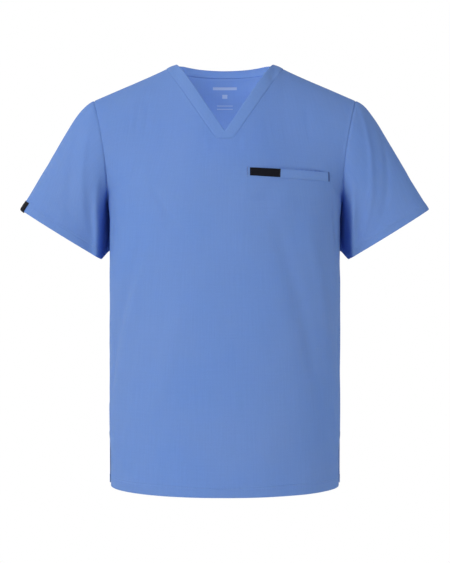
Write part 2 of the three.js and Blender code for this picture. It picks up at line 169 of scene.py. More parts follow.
# creases: where each starts and ends (z, and distance round the body from the centre line), how far it
# bows sideways, its half width and how far it stands out (minus is a trough)
creaseRows = {
    "front": [
        (-608, -222, -636, -197, 0, 5, -1.8),
        (-606, 220, -634, 206, 0, 5, -1.8),
        (-134, -17, -168, -19, 0, 3.2, 1.0),
        (-134, 15, -160, 16, 0, 3, -0.9),
        (-134, 20, -164, 22, 0, 3.2, 1.0),
        (-255, -86, -622, -206, 0, 15, 3.6),
        (-285, -104, -618, -232, -14, 14, -3.2),
        (-390, -48, -650, -128, 8, 18, 2.2),
        (-255, 52, -610, 158, 8, 16, -3.2),
        (-250, 108, -622, 196, 8, 16, 3.4),
        (-420, 212, -640, 232, 0, 12, -2.4),
        (-470, -204, -636, -236, 4, 7, 2.2),
        (-500, -222, -640, -243, 2, 5, -1.5),
        (-545, -130, -700, -168, -4, 14, 1.6),
        (-580, -108, -705, -146, 0, 13, -1.5),
        (-175, -112, -330, -64, 6, 12, 1.4),
        (-205, -96, -300, -46, 4, 10, -1.2),
        (-190, 60, -330, 18, -4, 14, -1.2),
        (-150, -150, -290, -205, 6, 16, 0.8),
        (-165, 168, -300, 214, -6, 18, 0.7),
        (-225, 176, -420, 236, 0, 9, -1.8),
        (-235, -190, -400, -240, 0, 9, -1.6),
        (-70, -128, -150, -138, 3, 7, -0.7),
        (-74, -158, -140, -166, -2, 6, 0.7),
        (-72, 140, -150, 146, -3, 8, -0.7),
        (-150, 4, -230, -8, 0, 16, 1.0),
        (-560, 180, -690, 214, 4, 8, 1.6),
        (-600, 60, -708, 44, 0, 20, 1.4),
        (-585, -20, -708, -30, 0, 22, -1.2),
    ],
    "back": [
        (-230, -92, -640, -186, -10, 18, 3.6),
        (-260, -120, -625, -226, -8, 14, -3),
        (-300, 18, -680, -34, 10, 24, -3),
        (-240, 84, -650, 168, 8, 18, 3.8),
        (-270, 116, -620, 214, 6, 14, -3),
        (-330, -60, -600, -20, 6, 20, 2.0),
        (-200, -150, -330, -196, 4, 12, 1.8),
        (-210, 156, -340, 204, -4, 12, 1.6),
        (-520, -214, -640, -236, 2, 8, 1.8),
        (-480, 220, -640, 238, 0, 9, -1.8),
        (-120, -60, -260, -96, -6, 22, 1.4),
        (-120, 66, -270, 92, 6, 22, 1.4),
        (-60, 6, -220, -4, 0, 24, -1.4),
        (-560, 90, -705, 120, 0, 16, 1.8),
        (-590, -120, -705, -96, 0, 18, -1.6),
    ],
}


def creaseLift(face, along, z):
    lift = np.zeros(np.broadcast(along, z).shape)
    for topZ, topAlong, footZ, footAlong, bow, width, height in creaseRows[face]:
        down = np.clip((topZ - z) / (topZ - footZ), 0, 1)
        path = topAlong + (footAlong - topAlong) * down + bow * np.sin(np.pi * down)
        fade = np.maximum(0, np.sin(np.pi * np.minimum(1, down * 1.15))) ** 0.8
        lift += height * fade * hill(along - path, width)
    return lift


def panelForm(face, across, level):
    # across runs from -1 to 1 between the panel's edges, and level is the height of the row's ends
    across, level = np.broadcast_arrays(np.asarray(across, float), np.asarray(level, float))
    share = np.abs(across)
    angle, power, halfWidth = sectionAt(face, level)
    turned = share * angle
    x = halfWidth * np.sin(turned) ** (2 / power)
    topAngle, topPower, topWidth = sectionAt(face, garment["tipZ"])
    topX = topWidth * np.sin(share * topAngle) ** (2 / topPower)
    rise = (level - garment["hemZ"]) / (garment["tipZ"] - garment["hemZ"])
    z = garment["hemZ"] + (upperEdge(face, np.minimum(topX, garment["tipX"])) - garment["hemZ"]) * rise
    reach = standOff(face, ridgeZ(x) - z) * np.maximum(0, np.cos(turned)) ** (2 / power)
    lift = creaseLift(face, across * garment["halfGirth"], z)
    if face == "front":
        opened = np.sin(np.pi / 2 * np.clip((garment["ventTopZ"] - level) / 40, 0, 1))
        lift = lift - garment["ventSag"] * opened * np.maximum(0, (share - 0.86) / 0.14) ** 2
    side = np.where(across < 0, -1, 1)
    return np.stack([
        side * (x + lift * np.sin(turned)),
        outwards[face] * (garment["sideGap"] + reach + lift * np.cos(turned)),
        z,
    ], -1)


def neckForm(face, x, z):
    # the same surface above the panel's upper edge, where the neckband lies
    _, power, halfWidth = sectionAt(face, garment["tipZ"])
    roundness = (1 - (np.abs(x) / halfWidth) ** power) ** (1 / power)
    reach = standOff(face, ridgeZ(np.abs(x)) - z) * roundness
    return np.stack([x, outwards[face] * (garment["sideGap"] + reach), z], -1)


def locateOnPanel(face, x, z):
    x, z = np.broadcast_arrays(np.asarray(x, float), np.asarray(z, float))
    level = z.copy()
    topAngle, topPower, topWidth = sectionAt(face, garment["tipZ"])
    for _ in range(12):
        angle, power, halfWidth = sectionAt(face, level)
        share = np.arcsin(np.minimum(1, np.abs(x) / halfWidth) ** (power / 2)) / angle
        topX = topWidth * np.sin(share * topAngle) ** (2 / topPower)
        rise = (z - garment["hemZ"]) / (upperEdge(face, topX) - garment["hemZ"])
        level = garment["hemZ"] + rise * (garment["tipZ"] - garment["hemZ"])
    return np.sign(x) * share, level


sleeve = {
    "cuffOut": (346.5, -247.5),
    "cuffIn": (210.5, -331.7),
    "cuffHalfDepth": 42,
    "cuffCentreY": 2,
    "seamGap": 1.3,
    "underarmGap": 2.2,
}
# turn from the underarm: direction in which the cloth leaves the armhole, how long it keeps its
# direction at either end, and how far it sways back
sleeveTurns = [0, 45, 90, 135, 180]
sleeveRows = {
    "outX": [0.02, 0.3, 0.72, 0.88, 0.93],
    "outZ": [-1, -0.95, -0.69, -0.48, -0.37],
    "start": [30, 34, 42, 38, 30],
    "end": [26, 32, 55, 100, 150],
    "sway": [20, 8, 0, 0, 0],
}
sleeveCurve = {name: smoothCurve(list(zip(sleeveTurns, row))) for name, row in sleeveRows.items()}
# behind the underarm the sleeve is drawn in against the body's side: turn, inwards, up, and how far along
# the sleeve it starts
drawnIn = [
    (-130, 0, 0, 0.38), (-100, 14, 3, 0.38), (-75, 31, 6, 0.34), (-50, 37, 8, 0.16),
    (-25, 15, 8, 0), (0, 0, 0, 0), (180, 0, 0, 0),
]
drawInwards, drawUp, drawFrom = (
    smoothCurve([(row[0], row[column]) for row in drawnIn]) for column in (1, 2, 3)
)
# side, turn at the armhole, turn at the cuff, half width and lift
sleeveCreases = [
    (1, 160, 30, 9, 2.4),
    (1, 231, 56, 11, -2.2),
    (1, -70, -70, 14, -3.0),
    (-1, 140, 30, 11, 1.8),
    (-1, 165, 66, 13, -1.8),
    (-1, -74, -74, 14, -3.0),
    (1, -104, -118, 12, 1.8),
    (-1, -102, -120, 12, 1.8),
    (1, -40, -34, 9, 1.4),
    (-1, -42, -34, 9, 1.4),
]
# in front of the underarm the cloth folds sharply under
underFold = {"atRoot": 74, "atCuff": 22, "width": 12, "lift": 10, "from": 0.1, "until": 0.55}
# behind it the cloth is pulled towards the body and back
underPull = {"turn": -34, "width": 18, "inwards": 6.5, "backwards": 7, "until": 0.75}


def armholeEdge(turn):
    # the armhole from the underarm (0) up the front to the shoulder (180) and down the back
    angle = np.radians(turn)
    middle = (garment["underarmZ"] + garment["tipZ"]) / 2
    half = (garment["tipZ"] - garment["underarmZ"]) / 2
    z = middle - half * np.cos(angle)
    front, back = panelForm("front", 1, z), panelForm("back", 1, z)
    return np.where(np.sin(angle)[..., None] >= 0, front, back), z


def sleeveForm(side, turn, along):
    turn, along = np.broadcast_arrays(np.asarray(turn, float), np.asarray(along, float))
    folded = np.where(turn > 180, 360 - turn, turn)
    angle = np.radians(turn)
    value = {name: curve(folded) for name, curve in sleeveCurve.items()}
    length = np.hypot(value["outX"], value["outZ"])
    leave = np.stack([value["outX"] / length, np.zeros_like(length), value["outZ"] / length], -1)
    root, _ = armholeEdge(turn)
    root = root + leave * sleeve["seamGap"]
    root[..., 0] += sleeve["underarmGap"] * np.maximum(0, np.cos(angle)) ** 1.5
    out, inn = np.array(sleeve["cuffOut"], float), np.array(sleeve["cuffIn"], float)
    centre = np.array([(out + inn)[0] / 2, sleeve["cuffCentreY"], (out + inn)[1] / 2])
    half = np.hypot(*(out - inn)) / 2
    alongCuff = np.array([(out - inn)[0], 0, (out - inn)[1]]) / (2 * half)
    armAxis = np.array([alongCuff[2], 0, -alongCuff[0]])
    end = centre - alongCuff * (half * np.cos(angle))[..., None]
    end = end - np.array([0, sleeve["cuffHalfDepth"], 0]) * np.sin(angle)[..., None]
    sway = np.stack([0 * length, value["sway"], 0 * length], -1)
    first = root + leave * value["start"][..., None] + sway
    second = end - armAxis * value["end"][..., None] + sway
    t, r = along[..., None], 1 - along[..., None]
    point = root * r**3 + 3 * first * t * r**2 + 3 * second * t**2 * r + end * t**3
    signed = np.where(turn > 180, turn - 360, turn)
    start = drawFrom(signed)
    late = np.maximum(0, (along - start) / (1 - start))
    early = np.sin(np.pi * np.clip(along / underPull["until"], 0, 1))
    early = early * hill(signed - underPull["turn"], underPull["width"])
    point[..., 0] -= underPull["inwards"] * early
    point[..., 1] += underPull["backwards"] * early
    point[..., 0] -= drawInwards(signed) * eased(late)
    point[..., 2] += drawUp(signed) * eased(late)
    path = underFold["atRoot"] + (underFold["atCuff"] - underFold["atRoot"]) * along
    risen = np.clip((along - underFold["from"]) / (underFold["until"] - underFold["from"]), 0, 1)
    point[..., 1] -= underFold["lift"] * eased(risen) * hill(signed - path, underFold["width"])
    # creases fade towards the seam, the cuff and the top of the arm
    fade = np.maximum(0, np.sin(np.pi * np.minimum(1, along * 1.05 + 0.02))) ** 0.7
    fade = fade * np.clip((178 - np.abs(signed)) / 16, 0, 1)
    for creased, atRoot, atCuff, width, height in sleeveCreases:
        if creased == side:
            lift = height * fade * hill(signed - atRoot - (atCuff - atRoot) * along, width)
            point[..., 1] += lift * np.where(signed > 0, -1, 1)
    point[..., 0] *= side
    return point


# Mesh helpers

def pickNone():
    bpy.ops.object.select_all(action="DESELECT")
    bpy.context.view_layer.objects.active = None


def pickOnly(piece):
    pickNone()
    piece.select_set(True)
    bpy.context.view_layer.objects.active = piece


def spread(start, end, step):
    count = max(1, int(round(abs(end - start) / step)))
    return list(np.linspace(start, end, count + 1)[1:])


def normalsOn(form, u, v, uEnds, vEnds, du, dv, outside=1):
    uLow, uHigh = np.maximum(u - du, uEnds[0]), np.minimum(u + du, uEnds[1])
    vLow, vHigh = np.maximum(v - dv, vEnds[0]), np.minimum(v + dv, vEnds[1])
    normal = np.cross(form(uHigh, v) - form(uLow, v), form(u, vHigh) - form(u, vLow)) * outside
    return normal / np.linalg.norm(normal, axis=-1)[..., None]


def sewnDip(distance, width, depth):
    return -depth * hill(distance, width)


def unevenness(points, size, height, seed):
    # slow, soft waves in the cloth
    return np.array([
        noise.noise(Vector(point) / size + Vector((seed, 0, 0))) for point in points
    ]) * height


def layGrid(name, columns, rows, form, waves=None):
    # a flat grid with as many columns and rows as the lists hold, laid on the form
    pickNone()
    bpy.ops.mesh.primitive_grid_add(x_subdivisions=len(columns) - 1, y_subdivisions=len(rows) - 1,
                                    size=1, calc_uvs=True)
    piece = bpy.context.object
    piece.name = name
    piece.data.name = name
    flat = np.empty(len(piece.data.vertices) * 3)
    piece.data.vertices.foreach_get("co", flat)
    flat = flat.reshape(-1, 3)
    column = np.rint((flat[:, 0] + 0.5) * (len(columns) - 1)).astype(int)
    row = np.rint((flat[:, 1] + 0.5) * (len(rows) - 1)).astype(int)
    u, v = np.asarray(columns, float)[column], np.asarray(rows, float)[row]
    points, normals = form(u, v)
    if waves:
        points = points + normals * waves(points, u, v)[:, None]
    points = points * mm
    piece.data.vertices.foreach_set("co", points.ravel())
    # the pattern laid out flat, in metres, for the weave
    grid = np.empty((len(rows), len(columns), 3))
    grid[row, column] = points
    acrossLength = np.zeros((len(rows), len(columns)))
    acrossLength[:, 1:] = np.cumsum(np.linalg.norm(np.diff(grid, axis=1), axis=-1), axis=1)
    acrossLength -= acrossLength[:, len(columns) // 2][:, None]
    upLength = np.zeros((len(rows), len(columns)))
    upLength[1:] = np.cumsum(np.linalg.norm(np.diff(grid, axis=0), axis=-1), axis=0)
    loopVertex = np.empty(len(piece.data.loops), int)
    piece.data.loops.foreach_get("vertex_index", loopVertex)
    uv = np.stack([acrossLength[row, column], upLength[row, column]], -1)[loopVertex]
    piece.data.uv_layers.active.data.foreach_set("uv", uv.ravel())
    piece.data.update()
    # faces look the way the form's normals do
    face = piece.data.polygons[len(piece.data.polygons) // 2]
    if face.normal.dot(Vector(normals[face.vertices[0]])) < 0:
        piece.data.flip_normals()
    return piece, u, v


def keepNumbers(piece, name, numbers):
    layer = piece.data.attributes.new(name, "FLOAT", "POINT")
    layer.data.foreach_set("value", np.asarray(numbers, np.float32))


def addGroup(piece, name, weights):
    group = piece.vertex_groups.new(name=name)
    for index, weight in enumerate(weights):
        group.add([index], float(weight), "REPLACE")


def thicken(piece, thick, group=None, thinnest=0.0):
    pickOnly(piece)
    wall = piece.modifiers.new("wall", "SOLIDIFY")
    wall.thickness = thick * mm
    wall.offset = -1
    if group:
        wall.vertex_group = group
        wall.thickness_vertex_group = thinnest
    bpy.ops.object.modifier_apply(modifier=wall.name)
    bpy.ops.object.shade_smooth_by_angle(angle=math.radians(48))


def joinStrips(name, strips, thick):
    for strip in strips:
        thicken(strip, thick)
    pickNone()
    for strip in strips:
        strip.select_set(True)
    bpy.context.view_layer.objects.active = strips[0]
    bpy.ops.object.join()
    strips[0].name = name
    strips[0].data.name = name
    return strips[0]


def weldRing(piece):
    pickOnly(piece)
    bpy.ops.object.mode_set(mode="EDIT")
    bpy.ops.mesh.select_all(action="SELECT")
    bpy.ops.mesh.remove_doubles(threshold=0.00002)
    bpy.ops.object.mode_set(mode="OBJECT")


def finishPiece(piece, material, slot, *nodes):
    piece.data.materials.clear()
    piece.data.materials.append(material)
    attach(piece, "root")
    if nodes:
        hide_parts(*nodes)
    return piece


def layerArea(piece):
    area = np.empty(len(piece.data.polygons))
    piece.data.polygons.foreach_get("area", area)
    return float(area.sum()) / 2


# Cloth and thread

clothLook = {
    "colour": (0.112, 0.203, 0.460),
    "warmer": (0.120, 0.207, 0.450),
    "slub": 0.04,
    "through": 0.25,  # some light comes through thin cloth
    "weavePitch": 0.00062,  # metres between threads
    "roughness": 0.85,
    "sheen": 0.03,
    "sheenTint": (0.25, 0.45, 1),
    "deep": (0.042, 0.115, 0.50),  # painted shade colour between facing folds, standing in for the shade and the light bounced off the cloth there
    "bump": 0.25,
    "ribbed": False,
}
bandLook = {**clothLook, "colour": (0.118, 0.212, 0.473), "warmer": (0.124, 0.215, 0.464)}
tapeLook = {
    "colour": (0.0035, 0.0035, 0.006),
    "warmer": (0.005, 0.005, 0.008),
    "slub": 0.2,
    "through": 0,
    "weavePitch": 0.0007,
    "roughness": 0.7,
    "sheen": 0.02,
    "sheenTint": (1, 1, 1),
    # painted shade colour for the tape between facing folds
    "deep": (0.003, 0.003, 0.005),
    "bump": 0.5,
    "ribbed": True,
}


def addNode(tree, kind, **settings):
    node = tree.nodes.new(kind)
    for name, value in settings.items():
        setattr(node, name, value)
    return node


def setInputs(node, values):
    for name, value in values.items():
        node.inputs[name].default_value = value


def feed(tree, socket, value):
    if isinstance(value, (int, float)):
        socket.default_value = value
    elif isinstance(value, tuple):
        socket.default_value = (*value, 1)
    else:
        tree.links.new(value, socket)


def sums(tree, operation, *values):
    node = addNode(tree, "ShaderNodeMath", operation=operation)
    for socket, value in zip(node.inputs, values):
        feed(tree, socket, value)
    return node.outputs[0]


def mixed(tree, factor, first, second, blend="MIX"):
    node = addNode(tree, "ShaderNodeMix", data_type="RGBA", blend_type=blend)
    for index, value in ((0, factor), (6, first), (7, second)):
        feed(tree, node.inputs[index], value)
    return node.outputs[2]


def noiseAt(tree, place, scale, detail=2):
    node = addNode(tree, "ShaderNodeTexNoise")
    setInputs(node, {"Scale": scale, "Detail": detail})
    tree.links.new(place, node.inputs["Vector"])
    return node.outputs["Fac"]


def bumped(tree, height, strength, distance, under=None):
    node = addNode(tree, "ShaderNodeBump")
    setInputs(node, {"Strength": strength, "Distance": distance})
    tree.links.new(height, node.inputs["Height"])
    if under:
        tree.links.new(under, node.inputs["Normal"])
    return node.outputs[0]


def newMaterial(name):
    material = bpy.data.materials.new(name)
    material.use_nodes = True
    tree = material.node_tree
    shader = next(node for node in tree.nodes if node.type == "BSDF_PRINCIPLED")
    return material, tree, shader, addNode(tree, "ShaderNodeTexCoord")


def wovenCloth(name, look):
    material, tree, shader, place = newMaterial(name)
    setInputs(shader, {
        "Roughness": look["roughness"],
        "Sheen Weight": look["sheen"],
        "Sheen Roughness": 0.5,
        "Sheen Tint": (*look["sheenTint"], 1),
        "Specular IOR Level": 0.08,
        "Subsurface Weight": look["through"],
        "Subsurface Radius": (0.5, 0.8, 1.6),
        "Subsurface Scale": 0.001,
    })
    # threads across and along, from the pattern laid out flat
    split = addNode(tree, "ShaderNodeSeparateXYZ")
    tree.links.new(place.outputs["UV"], split.inputs[0])
    turns = 2 * math.pi / look["weavePitch"]
    warp = sums(tree, "SINE", sums(tree, "MULTIPLY", split.outputs[0], turns))
    weft = sums(tree, "SINE", sums(tree, "MULTIPLY", split.outputs[1], turns))
    if look["ribbed"]:
        weave = sums(tree, "MULTIPLY_ADD", weft, 0.7, sums(tree, "MULTIPLY", warp, 0.3))
    else:
        diagonal = sums(tree, "ADD", split.outputs[0], split.outputs[1])
        twill = sums(tree, "SINE", sums(tree, "MULTIPLY", diagonal, turns / 2))
        weave = sums(tree, "MULTIPLY_ADD", twill, 0.35, sums(tree, "MULTIPLY", warp, weft))
    # broad unevenness of the dye, and fine mottling of the yarn
    broad = addNode(tree, "ShaderNodeMapRange")
    setInputs(broad, {"From Min": 0.35, "From Max": 0.65})
    tree.links.new(noiseAt(tree, place.outputs["Object"], 7), broad.inputs["Value"])
    dyeAndPaintedShade = mixed(tree, broad.outputs[0], look["colour"], look["warmer"])
    # painted shade: the colour turns darker and bluer where the cloth faces other cloth close by, as read
    # from ambient occlusion
    paintedShadeOcclusion = addNode(tree, "ShaderNodeAmbientOcclusion", samples=6)
    paintedShadeOcclusion.inputs["Distance"].default_value = 0.07
    folded = addNode(tree, "ShaderNodeMapRange")
    setInputs(folded, {"From Min": 0.12, "From Max": 0.5, "To Min": 1, "To Max": 0})
    tree.links.new(paintedShadeOcclusion.outputs["AO"], folded.inputs["Value"])
    # the dyed colour is mixed towards the painted shade colour in the occluded places
    dyeAndPaintedShade = mixed(tree, folded.outputs[0], dyeAndPaintedShade, look["deep"])
    mottled = sums(tree, "MULTIPLY_ADD", noiseAt(tree, place.outputs["Object"], 900, 1), 0.1, 0.95)
    tone = sums(tree, "MULTIPLY_ADD", weave, 0.02, mottled)
    # slubs: thicker and thinner stretches of thread, both ways
    for stretch, share in (((430, 16, 1), 2), ((18, 390, 1), 1.1)):
        slub = addNode(tree, "ShaderNodeMapping")
        slub.inputs["Scale"].default_value = stretch
        tree.links.new(place.outputs["UV"], slub.inputs["Vector"])
        streak = sums(tree, "SUBTRACT", noiseAt(tree, slub.outputs[0], 1, 1), 0.5)
        tone = sums(tree, "MULTIPLY_ADD", streak, look["slub"] * share, tone)
    grey = addNode(tree, "ShaderNodeCombineColor")
    for socket in grey.inputs:
        tree.links.new(tone, socket)
    tree.links.new(mixed(tree, 1.0, dyeAndPaintedShade, grey.outputs[0], "MULTIPLY"), shader.inputs["Base Color"])
    # puckers beside the stitches under the relief of the weave
    sewn = addNode(tree, "ShaderNodeAttribute", attribute_name="sewn")
    pucker = sums(tree, "MULTIPLY", noiseAt(tree, place.outputs["Object"], 170), sewn.outputs["Fac"])
    puckered = bumped(tree, pucker, 0.6, 0.0012)
    tree.links.new(bumped(tree, weave, look["bump"], 0.00008, puckered), shader.inputs["Normal"])
    return material


def twistedThread(name, colour, roughness=0.6):
    material, tree, shader, place = newMaterial(name)
    setInputs(shader, {"Roughness": roughness, "Sheen Weight": 0.04})
    twist = noiseAt(tree, place.outputs["Object"], 2400)
    darker = tuple(0.8 * part for part in colour)
    tree.links.new(mixed(tree, twist, darker, colour), shader.inputs["Base Color"])
    tree.links.new(bumped(tree, twist, 0.4, 0.00005), shader.inputs["Normal"])
    return material


scrubCloth = wovenCloth("scrubCloth", clothLook)
foldedCloth = wovenCloth("foldedCloth", bandLook)
blackTape = wovenCloth("blackTape", tapeLook)
blueThread = twistedThread("blueThread", (0.125, 0.212, 0.460))
# painted shade: the bartack thread is darker than the other thread, standing in for the shadow at the tacks
tackThreadPaintedShade = twistedThread("tackThreadPaintedShade", (0.04, 0.08, 0.22))
blackThread = twistedThread("blackThread", (0.020, 0.020, 0.026))
palePrint = twistedThread("palePrint", (0.24, 0.33, 0.54), 0.75)
print("materials ready")


# Front and back panels

panelCut = {
    "step": 3.1,  # size of the mesh's squares
    "besideSeam": [0.5, 1.2, 2.1, 3.4, 5.2],
    "seamDepth": 0.7,
    "hemLift": 0.45,
    "stitchDepth": 0.45,
    "stitchUp": 15.8,  # hem stitches above the edge
    "ventTurn": 9,
    "ventLift": 0.3,
    "ventStitch": 7.6,
    "ventGap": 1.8,
    "weltEdgeX": [60.0, 168.0],  # finer rows lie beside the welt's upper edge
    "weltEdgeZ": [-187.4, -191.1],
}
# the bag's stitched outline
pocketBag = {"inX": 32, "outX": 150, "topZ": -200, "bottomZ": -240, "corner": 10, "lift": 0.6, "width": 2.4}
# behind the welt's upper edge the cloth falls away a little, as far as the tack
pocketMouth = {
    "z": -186.4, "tilt": -0.035, "fromX": 40, "toX": 168, "fall": 2.7, "width": 1.9,
    "tackX": 170.5, "tackFall": 1.4,
}


def shareAt(face, x):
    angle, power, halfWidth = sectionAt(face, garment["tipZ"])
    return float(np.arcsin((x / halfWidth) ** (power / 2)) / angle)


def panelColumns(face):
    foot = shareAt(face, garment["bandFootHalfWidth"])
    neck = shareAt(face, garment["bandSeamHalfWidth"])
    step = panelCut["step"] / garment["halfGirth"]
    beside = [1 - d / garment["halfGirth"] for d in panelCut["besideSeam"]][::-1]
    half = spread(0, foot, step) + spread(foot, neck, step) + spread(neck, beside[0], step)
    half += beside[1:] + [1.0]
    return [-share for share in half[::-1]] + [0.0] + half


def panelRows():
    hemZ, tipZ, ventZ, step = garment["hemZ"], garment["tipZ"], garment["ventTopZ"], panelCut["step"]
    stitchZ = hemZ + panelCut["stitchUp"]
    beside = locateOnPanel("front", panelCut["weltEdgeX"], panelCut["weltEdgeZ"])[1]
    rows = [hemZ + up for up in (0, 0.3, 0.8, 1.6)]
    # where each stretch of rows ends, and how far apart they are in it
    for end, apart in ((stitchZ - 2.4, 2.9), (stitchZ + 4, 0.7), (ventZ - 5, step), (ventZ + 5, 1.2),
                       (min(beside) - 5, step), (max(beside) + 5, 1.0), (tipZ - 5, step)):
        rows += spread(rows[-1], end, apart)
    return rows + [tipZ - down for down in (3.2, 1.9, 1.0, 0.4, 0)]


def vented(level):
    return softStep(level, garment["ventTopZ"], 1.2)


def bagOutline(x, z):
    # distance from the edge of the pocket bag that shows faintly through the cloth
    inX, bottomZ, corner = pocketBag["inX"], pocketBag["bottomZ"], pocketBag["corner"]
    away = np.hypot(np.minimum(0, x - inX - corner), np.minimum(0, z - bottomZ - corner))
    inside = (x < pocketBag["outX"]) & (z < pocketBag["topZ"])
    return np.where(inside, away - corner, 99)


def pocketOpening(x, z):
    below = z - pocketMouth["z"] - pocketMouth["tilt"] * (x - pocketBag["inX"])
    reach = np.clip((x - pocketMouth["fromX"]) / 50, 0, 1) * np.clip((pocketMouth["toX"] - x) / 14, 0, 1)
    tacked = hill(x - pocketMouth["tackX"], 2.4) * hill(below + 8, 7)
    fallen = reach * sewnDip(below, pocketMouth["width"], pocketMouth["fall"])
    return fallen - pocketMouth["tackFall"] * tacked


def panelRelief(face, u, v, points):
    side = (1 - np.abs(u)) * garment["halfGirth"]
    open_ = vented(v)
    relief = sewnDip(side, 1.1, panelCut["seamDepth"]) * (1 - open_)
    inNeck = softStep(np.abs(points[..., 0]), garment["bandSeamHalfWidth"], 1.5)
    relief += sewnDip(garment["tipZ"] - v, 1.1, panelCut["seamDepth"]) * (1 - 0.6 * inNeck)
    up = v - garment["hemZ"]
    relief += panelCut["hemLift"] * softStep(up, garment["hemTurn"], 0.7)
    relief += sewnDip(up - panelCut["stitchUp"], 0.9, panelCut["stitchDepth"])
    relief += sewnDip(up, 0.7, 0.5) + sewnDip(side, 0.7, 0.4) * open_
    relief += panelCut["ventLift"] * open_ * softStep(side, panelCut["ventTurn"], 0.7)
    relief += sewnDip(side - panelCut["ventStitch"], 0.9, panelCut["stitchDepth"]) * open_
    if face == "front":
        relief += pocketBag["lift"] * hill(bagOutline(points[..., 0], points[..., 2]), pocketBag["width"])
        relief += pocketOpening(points[..., 0], points[..., 2])
    return relief


def panelTop(face, u, v, extra=0.0):
    # the cloth's outer side and its normals
    def form(a, b):
        return panelForm(face, a, b)

    ends = (garment["hemZ"], garment["tipZ"])
    normals = normalsOn(form, u, v, (-1, 1), ends, 2e-3, 0.3, -outwards[face])
    points = form(u, v)
    if face == "front":
        # below the vents the front hangs a little inside the back
        down = np.clip((garment["ventTopZ"] - v) / 22, 0, 1) ** 2
        side = (1 - np.abs(u)) * garment["halfGirth"]
        points[..., 0] -= np.sign(u) * panelCut["ventGap"] * down * hill(side, 45)
    lift = garment["clothThick"] / 2 + panelRelief(face, u, v, points) + extra
    return points + normals * np.asarray(lift)[..., None], normals


def layPanel(name, face, seed):
    def waves(points, u, v):
        # none at the seams
        calm = np.minimum(1, (1 - np.abs(u)) * garment["halfGirth"] / 12)
        calm = calm * np.minimum(1, (garment["tipZ"] - v) / 12)
        return calm * (unevenness(points, 62, 0.9, seed) + unevenness(points, 24, 0.35, seed + 7))

    piece, u, v = layGrid(name, panelColumns(face), panelRows(), lambda a, b: panelTop(face, a, b), waves)
    side = (1 - np.abs(u)) * garment["halfGirth"]
    up = v - garment["hemZ"]
    turned = softStep(up, garment["hemTurn"], 0.5)
    turned = np.maximum(turned, vented(v) * softStep(side, panelCut["ventTurn"], 0.5))
    edge = hill(up, 0.5) + vented(v) * hill(side, 0.5)
    addGroup(piece, "turned", np.clip(turned * (1 - 0.75 * np.clip(edge, 0, 1)), 0, 1))
    sewn = 0.8 * hill(up - panelCut["stitchUp"], 7)
    sewn += 0.45 * (hill(side, 6) + hill(garment["tipZ"] - v, 7))
    sewn += 0.6 * vented(v) * hill(side - panelCut["ventStitch"], 5)
    keepNumbers(piece, "sewn", np.clip(sewn, 0, 1))
    thicken(piece, garment["hemThick"], "turned", garment["clothThick"] / garment["hemThick"])
    return piece


frontPanel = finishPiece(layPanel("frontPanel", "front", seed=3), scrubCloth, "scrub_cloth", "front_panel")
backPanel = finishPiece(layPanel("backPanel", "back", seed=11), scrubCloth, "scrub_cloth", "back_panel")
print("panels laid,", len(frontPanel.data.polygons), "faces in front")


# Seam allowances under the side and shoulder seams, so no seam gapes

allowance = {"width": 7, "depth": 1.35, "thick": 0.5}


def underSeam(share, level, deep, towardsBack):
    # inside the two panels where they meet: towardsBack is minus under the front and 0 at the seam
    front, frontNormal = panelTop("front", share, level, deep)
    back, backNormal = panelTop("back", share, level, deep)
    onFront = (towardsBack < -1e-6)[..., None]
    seam = (np.abs(towardsBack) < 1e-6)[..., None]
    points = np.where(seam, (front + back) / 2, np.where(onFront, front, back))
    return points, np.where(onFront, frontNormal, backNormal)


def underSide(side):
    def form(u, v):
        reach = np.abs(u) * allowance["width"] / garment["halfGirth"]
        return underSeam(side * (1 - reach), v, -allowance["depth"], u)

    return form


def underShoulder(side):
    def form(u, v):
        return underSeam(side * u, garment["tipZ"] - np.abs(v) * allowance["width"], -allowance["depth"], v)

    return form


def layAllowances():
    strips = []
    sideRows = spread(garment["ventTopZ"] + 1, garment["underarmZ"] - 5, 4)
    steps = [-1, -0.6, -0.3, -0.12, 0, 0.12, 0.3, 0.6, 1]
    for side in (-1, 1):
        strips.append(layGrid("sideAllowance", steps, sideRows, underSide(side))[0])
        shares = spread(shareAt("front", garment["bandSeamHalfWidth"]) - 0.02, 0.999, 0.02)
        strips.append(layGrid("shoulderAllowance", shares, steps, underShoulder(side))[0])
    return joinStrips("seamAllowances", strips, allowance["thick"])


seamAllowances = finishPiece(layAllowances(), scrubCloth, "scrub_cloth")


# Sleeves

sleeveCut = {
    "step": 2.9,
    "hem": garment["cuffTurn"] + 4,  # from the cuff's edge to where the finer rows begin
    "stitchUp": 12.6,
    "stitchDepth": 0.45,
    "hemLift": 0.45,
    "seamDepth": 0.7,
    "underlap": 5,
}


def shareFromCuff(turn, distance):
    along = np.linspace(0.3, 1, 71)
    path = sleeveForm(1, np.full(along.shape, float(turn % 360)), along)
    left = np.cumsum(np.linalg.norm(np.diff(path[::-1], axis=0), axis=-1))
    return np.interp(distance, np.concatenate([[0], left]), along[::-1])


def sleeveAlong(turn, v):
    # v is 0 at the armhole, 1 where the hem begins and 2 at the cuff's edge
    hem = np.interp(turn % 360, hemTurns, hemShares)
    return np.where(v < 1, v * hem, hem + (v - 1) * (1 - hem))


def underArmhole(side, turn, v):
    # the sleeve's edge lies under the panel
    angle = np.radians(turn)
    _, level = armholeEdge(turn)
    across, down = 87.5 * np.abs(np.sin(angle)), 58 * np.maximum(0, np.cos(angle))
    size = np.hypot(across, down)
    reach = -v * sleeveCut["underlap"]
    share = 1 - reach * across / size / garment["halfGirth"]
    deep = -1.0 - 0.4 * np.minimum(1, reach / 2)
    return underSeam(side * share, level - reach * down / size, deep, -np.sin(angle))


